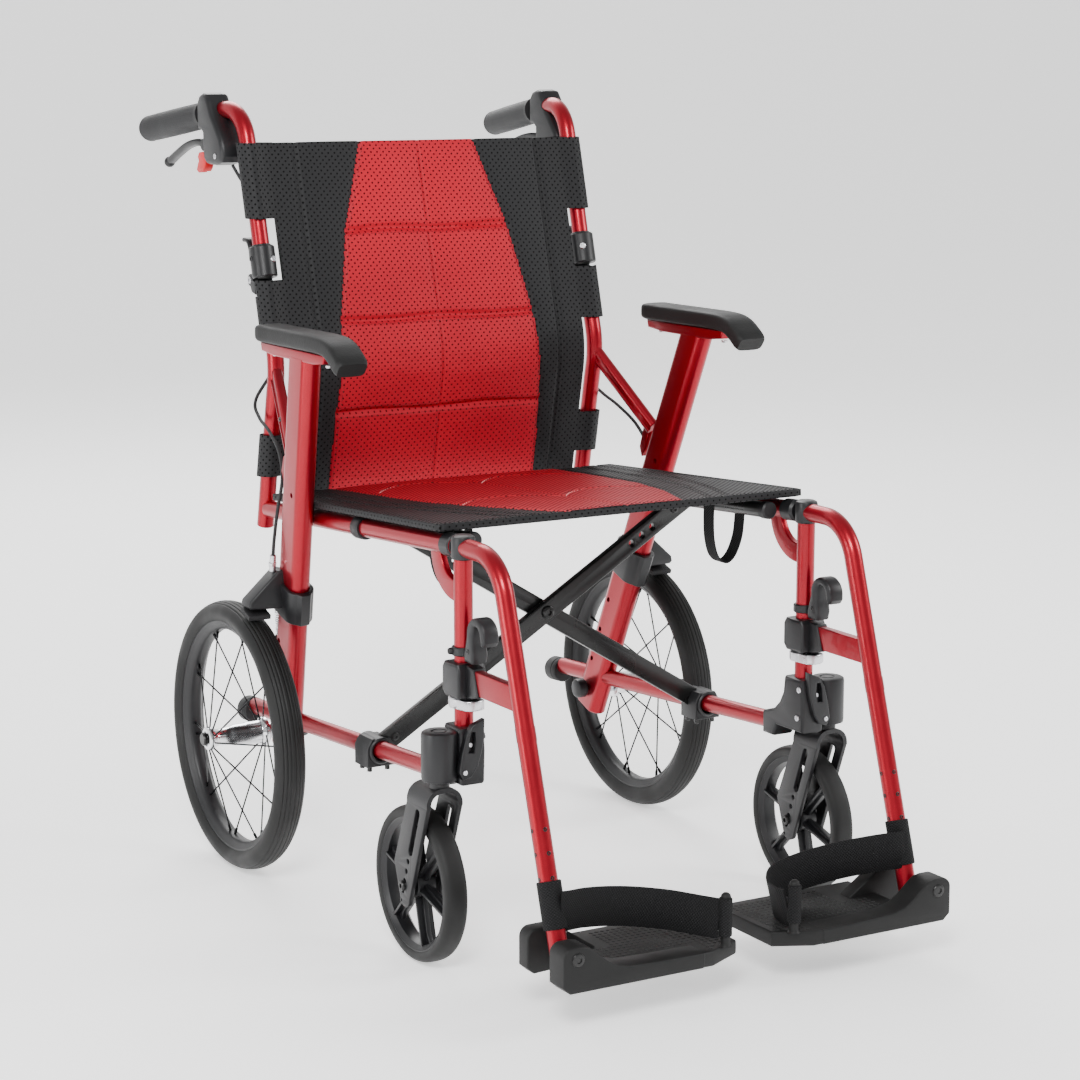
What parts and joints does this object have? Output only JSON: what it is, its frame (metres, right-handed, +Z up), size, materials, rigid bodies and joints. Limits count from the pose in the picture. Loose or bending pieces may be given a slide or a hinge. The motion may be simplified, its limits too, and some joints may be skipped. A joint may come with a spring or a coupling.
{
  "type": "manual wheelchair",
  "caption": "Folding transit wheelchair with cross-brace frame, spoked rear wheels, swivel casters, swing-away footrests, folding back and attendant brakes.",
  "frame": {"origin": "centre of the bounding box on the floor under the tyres", "axes": "+Z up, -Y towards the footrests (the way the chair faces), +X towards the seated person's left"},
  "size_m": [0.708, 1.1035, 0.993],
  "materials": {
    "red_paint": "metallic red gloss",
    "black_plastic": "fine-textured",
    "armrest_foam": "satin skinned foam",
    "tyre": "matt rubber",
    "black_rim": "satin black with bright hub",
    "black_steel": "satin black",
    "webbing": "woven webbing",
    "rubber": "textured",
    "red_plastic": "gloss",
    "upholstery": "perforated, red centre panel"
  },
  "bodies": {
    "frame_right": {"lower_rail_right": "red_paint", "seat_rail_right": "red_paint", "strut_right": "red_paint", "back_post_right": "red_paint", "hinge_bracket_right": "black_plastic", "arm_pad_right": "armrest_foam", "caster_housing_right": "black_plastic", "rear_axle_right": "black_steel", "brake_block_right": "black_plastic", "brake_cable_right": "rubber", "back_lower": "upholstery"},
    "cane_right": {"back_cane_right": "red_paint", "cane_collar_right": "black_plastic", "grip_right": "rubber", "lever_housing_right": "black_plastic", "back_upper": "upholstery"},
    "fold_lever_right": {"fold_lever_right": "black_plastic"},
    "brake_lever_right": {"brake_lever_right": "black_plastic"},
    "lock_latch_right": {"lock_latch_right": "red_plastic"},
    "brake_shoe_right": {"brake_shoe_right": "rubber"},
    "rear_wheel_right": {"rear_tyre_right": "tyre", "rear_rim_right": "black_rim"},
    "caster_fork_right": {"caster_fork_right": "black_plastic"},
    "caster_wheel_right": {"caster_tyre_right": "tyre", "caster_rim_right": "black_plastic"},
    "hanger_right": {"hanger_right": "red_paint"},
    "latch_lever_right": {"latch_lever_right": "black_plastic"},
    "footplate_right": {"footplate_right": "black_plastic", "heel_strap_right": "webbing"},
    "cross_arm_right": {"cross_arm_right": "black_steel"},
    "frame_left": {"lower_rail_left": "red_paint", "seat_rail_left": "red_paint", "strut_left": "red_paint", "back_post_left": "red_paint", "hinge_bracket_left": "black_plastic", "arm_pad_left": "armrest_foam", "caster_housing_left": "black_plastic", "rear_axle_left": "black_steel", "brake_block_left": "black_plastic", "brake_cable_left": "rubber"},
    "cane_left": {"back_cane_left": "red_paint", "cane_collar_left": "black_plastic", "grip_left": "rubber", "lever_housing_left": "black_plastic"},
    "fold_lever_left": {"fold_lever_left": "black_plastic"},
    "brake_lever_left": {"brake_lever_left": "black_plastic"},
    "lock_latch_left": {"lock_latch_left": "red_plastic"},
    "brake_shoe_left": {"brake_shoe_left": "rubber"},
    "rear_wheel_left": {"rear_tyre_left": "tyre", "rear_rim_left": "black_rim"},
    "caster_fork_left": {"caster_fork_left": "black_plastic"},
    "caster_wheel_left": {"caster_tyre_left": "tyre", "caster_rim_left": "black_plastic"},
    "hanger_left": {"hanger_left": "red_paint"},
    "latch_lever_left": {"latch_lever_left": "black_plastic"},
    "footplate_left": {"footplate_left": "black_plastic", "heel_strap_left": "webbing"},
    "cross_arm_left": {"cross_arm_left": "black_steel"},
    "seat": {"seat_sling": "upholstery"}
  },
  "joints": [
    {"name": "fold", "type": "hinge", "parent": "frame_right", "child": "cross_arm_right", "pos_m": [-0.238, -0.0576, 0.20904], "axis": [0, -1, 0], "range_deg": [0, 34], "deforming": ["seat_sling", "back_lower", "back_upper", "heel_strap_right", "heel_strap_left"]},
    {"name": "fold_scissor", "type": "hinge", "parent": "cross_arm_right", "child": "cross_arm_left", "pos_m": [0, -0.0576, 0.3547], "axis": [0, -1, 0], "range_deg": [-68, 0]},
    {"name": "fold_frame", "type": "hinge", "parent": "cross_arm_left", "child": "frame_left", "pos_m": [0.238, -0.0576, 0.20904], "axis": [0, -1, 0], "range_deg": [0, 34]},
    {"name": "fold_seat", "type": "hinge", "parent": "cross_arm_right", "child": "seat", "pos_m": [0, -0.0576, 0.3547], "axis": [0, -1, 0], "range_deg": [-34, 0], "deforming": ["seat_sling"]},
    {"name": "back_fold_right", "type": "hinge", "parent": "frame_right", "child": "cane_right", "pos_m": [-0.238, 0.2554, 0.757], "axis": [-1, 0, 0], "range_deg": [0, 90], "deforming": ["brake_cable_right", "back_upper", "back_lower"]},
    {"name": "fold_lever_pull_right", "type": "hinge", "parent": "cane_right", "child": "fold_lever_right", "pos_m": [-0.238, 0.2724, 0.784], "axis": [-1, 0, 0], "range_deg": [0, 25], "stiffness_Nm_per_rad": 0.3},
    {"name": "brake_lever_pull_right", "type": "hinge", "parent": "cane_right", "child": "brake_lever_right", "pos_m": [-0.254, 0.3769, 0.925], "axis": [1, 0, 0], "range_deg": [0, 8], "stiffness_Nm_per_rad": 2},
    {"name": "lock_latch_press_right", "type": "hinge", "parent": "cane_right", "child": "lock_latch_right", "pos_m": [-0.254, 0.3764, 0.906], "axis": [-1, 0, 0], "range_deg": [0, 15], "stiffness_Nm_per_rad": 0.2},
    {"name": "brake_shoe_press_right", "type": "slide", "parent": "frame_right", "child": "brake_shoe_right", "axis": [0, 0.3256, -0.9455], "range_m": [0, 0.0018]},
    {"name": "wheel_spin_right", "type": "hinge", "parent": "frame_right", "child": "rear_wheel_right", "pos_m": [-0.304, 0.2064, 0.175], "axis": [1, 0, 0], "continuous": true},
    {"name": "caster_swivel_right", "type": "hinge", "parent": "frame_right", "child": "caster_fork_right", "pos_m": [-0.2717, -0.2896, 0.25], "axis": [0, 0, 1], "continuous": true},
    {"name": "caster_spin_right", "type": "hinge", "parent": "caster_fork_right", "child": "caster_wheel_right", "pos_m": [-0.2717, -0.2416, 0.0927], "axis": [1, 0, 0], "continuous": true},
    {"name": "hanger_swing_right", "type": "hinge", "parent": "frame_right", "child": "hanger_right", "pos_m": [-0.238, -0.2866, 0.4], "axis": [0, 0, -1], "range_deg": [0, 90]},
    {"name": "latch_lever_tilt_right", "type": "hinge", "parent": "hanger_right", "child": "latch_lever_right", "pos_m": [-0.238, -0.3136, 0.3705], "axis": [1, 0, 0], "range_deg": [0, 20], "stiffness_Nm_per_rad": 0.3},
    {"name": "footplate_flip_right", "type": "hinge", "parent": "hanger_right", "child": "footplate_right", "pos_m": [-0.238, -0.4996, 0.084], "axis": [0, -1, 0], "range_deg": [0, 90.1], "deforming": ["heel_strap_right"]},
    {"name": "back_fold_left", "type": "hinge", "parent": "frame_left", "child": "cane_left", "pos_m": [0.238, 0.2554, 0.757], "axis": [-1, 0, 0], "range_deg": [0, 90], "deforming": ["brake_cable_left", "back_upper"]},
    {"name": "fold_lever_pull_left", "type": "hinge", "parent": "cane_left", "child": "fold_lever_left", "pos_m": [0.238, 0.2724, 0.784], "axis": [-1, 0, 0], "range_deg": [0, 25], "stiffness_Nm_per_rad": 0.3},
    {"name": "brake_lever_pull_left", "type": "hinge", "parent": "cane_left", "child": "brake_lever_left", "pos_m": [0.254, 0.3769, 0.925], "axis": [1, 0, 0], "range_deg": [0, 8], "stiffness_Nm_per_rad": 2},
    {"name": "lock_latch_press_left", "type": "hinge", "parent": "cane_left", "child": "lock_latch_left", "pos_m": [0.254, 0.3764, 0.906], "axis": [-1, 0, 0], "range_deg": [0, 15], "stiffness_Nm_per_rad": 0.2},
    {"name": "brake_shoe_press_left", "type": "slide", "parent": "frame_left", "child": "brake_shoe_left", "axis": [0, 0.3256, -0.9455], "range_m": [0, 0.0018]},
    {"name": "wheel_spin_left", "type": "hinge", "parent": "frame_left", "child": "rear_wheel_left", "pos_m": [0.304, 0.2064, 0.175], "axis": [1, 0, 0], "continuous": true},
    {"name": "caster_swivel_left", "type": "hinge", "parent": "frame_left", "child": "caster_fork_left", "pos_m": [0.2717, -0.2896, 0.25], "axis": [0, 0, 1], "continuous": true},
    {"name": "caster_spin_left", "type": "hinge", "parent": "caster_fork_left", "child": "caster_wheel_left", "pos_m": [0.2717, -0.2416, 0.0927], "axis": [1, 0, 0], "continuous": true},
    {"name": "hanger_swing_left", "type": "hinge", "parent": "frame_left", "child": "hanger_left", "pos_m": [0.238, -0.2866, 0.4], "axis": [0, 0, 1], "range_deg": [0, 90]},
    {"name": "latch_lever_tilt_left", "type": "hinge", "parent": "hanger_left", "child": "latch_lever_left", "pos_m": [0.238, -0.3136, 0.3705], "axis": [1, 0, 0], "range_deg": [0, 20], "stiffness_Nm_per_rad": 0.3},
    {"name": "footplate_flip_left", "type": "hinge", "parent": "hanger_left", "child": "footplate_left", "pos_m": [0.238, -0.4996, 0.084], "axis": [0, 1, 0], "range_deg": [0, 90.1], "deforming": ["heel_strap_left"]}
  ],
  "couplings": [
    {"joint": "fold_scissor", "follows": "fold", "ratio": -2},
    {"joint": "fold_frame", "follows": "fold", "ratio": 1},
    {"joint": "fold_seat", "follows": "fold", "ratio": -1},
    {"joint": "brake_shoe_press_right", "follows": "brake_lever_pull_right", "m_per_rad": 0.0128},
    {"joint": "footplate_flip_right", "follows": "fold", "ratio": 2.65},
    {"joint": "back_fold_left", "follows": "back_fold_right", "ratio": 1},
    {"joint": "brake_shoe_press_left", "follows": "brake_lever_pull_left", "m_per_rad": 0.0128},
    {"joint": "footplate_flip_left", "follows": "fold", "ratio": 2.65}
  ]
}
